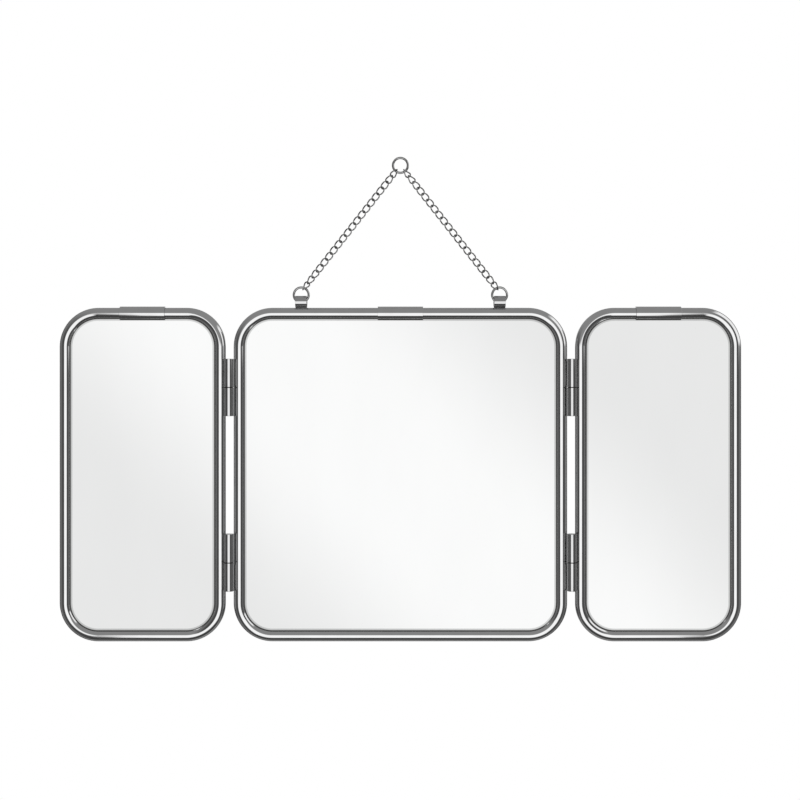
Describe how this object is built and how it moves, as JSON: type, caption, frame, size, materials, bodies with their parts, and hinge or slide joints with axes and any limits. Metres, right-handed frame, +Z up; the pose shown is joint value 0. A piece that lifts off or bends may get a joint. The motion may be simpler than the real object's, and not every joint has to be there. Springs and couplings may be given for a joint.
{
  "type": "trifold wall mirror",
  "caption": "Hanging mirror with a square centre pane and folding half-width wings in rolled tube frames, held by link chains that meet in a top ring.",
  "frame": {"origin": "the nail's contact at the top inside of the apex ring, in the mirror's middle plane", "axes": "+X to the viewer's right across the three panels, -Y out of the mirror's front, +Z up"},
  "size_m": [0.4902, 0.0132, 0.3488],
  "materials": {
    "chrome_frame": "bright chrome plate on rolled steel tube",
    "chrome_fittings": "bright chrome plate on rolled strip and barrels",
    "chrome_wire": "bright chrome plate on bent wire",
    "pin_steel": "drawn bright steel",
    "silvered_glass": "polished silvered glass with a ground edge",
    "backing_board": "dense grey-brown board"
  },
  "bodies": {
    "top_ring": {"apex_ring": "chrome_wire"},
    "hanger": {"left_chain": "chrome_wire", "left_end_ring": "chrome_wire", "right_chain": "chrome_wire", "right_end_ring": "chrome_wire"},
    "centre_panel": {"centre_backing_board": "backing_board", "centre_frame_tube": "chrome_frame", "centre_joint_sleeve": "chrome_frame", "centre_mirror_glass": "silvered_glass", "left_hanger_loop": "chrome_fittings", "left_lower_frame_knuckle": "chrome_fittings", "left_lower_hinge_pin": "pin_steel", "left_upper_frame_knuckle": "chrome_fittings", "left_upper_hinge_pin": "pin_steel", "right_hanger_loop": "chrome_fittings", "right_lower_frame_knuckle": "chrome_fittings", "right_lower_hinge_pin": "pin_steel", "right_upper_frame_knuckle": "chrome_fittings", "right_upper_hinge_pin": "pin_steel"},
    "left_wing": {"left_backing_board": "backing_board", "left_frame_tube": "chrome_frame", "left_joint_sleeve": "chrome_frame", "left_lower_wing_knuckle": "chrome_fittings", "left_mirror_glass": "silvered_glass", "left_upper_wing_knuckle": "chrome_fittings"},
    "right_wing": {"right_backing_board": "backing_board", "right_frame_tube": "chrome_frame", "right_joint_sleeve": "chrome_frame", "right_lower_wing_knuckle": "chrome_fittings", "right_mirror_glass": "silvered_glass", "right_upper_wing_knuckle": "chrome_fittings"}
  },
  "joints": [
    {"name": "hanger_swing", "type": "hinge", "parent": "top_ring", "child": "hanger", "pos_m": [0, 0, -0.00871], "axis": [-1, 0, 0], "range_deg": [-30, 30]},
    {"name": "frame_swing", "type": "hinge", "parent": "hanger", "child": "centre_panel", "pos_m": [0, 0, -0.1027], "axis": [-1, 0, 0], "range_deg": [-90, 90]},
    {"name": "left_wing_fold", "type": "hinge", "parent": "centre_panel", "child": "left_wing", "pos_m": [-0.1228, -0.0047, -0.22705], "axis": [0, 0, 1], "range_deg": [-50, 180]},
    {"name": "right_wing_fold", "type": "hinge", "parent": "centre_panel", "child": "right_wing", "pos_m": [0.1228, -0.0047, -0.22705], "axis": [0, 0, -1], "range_deg": [-50, 180]}
  ]
}
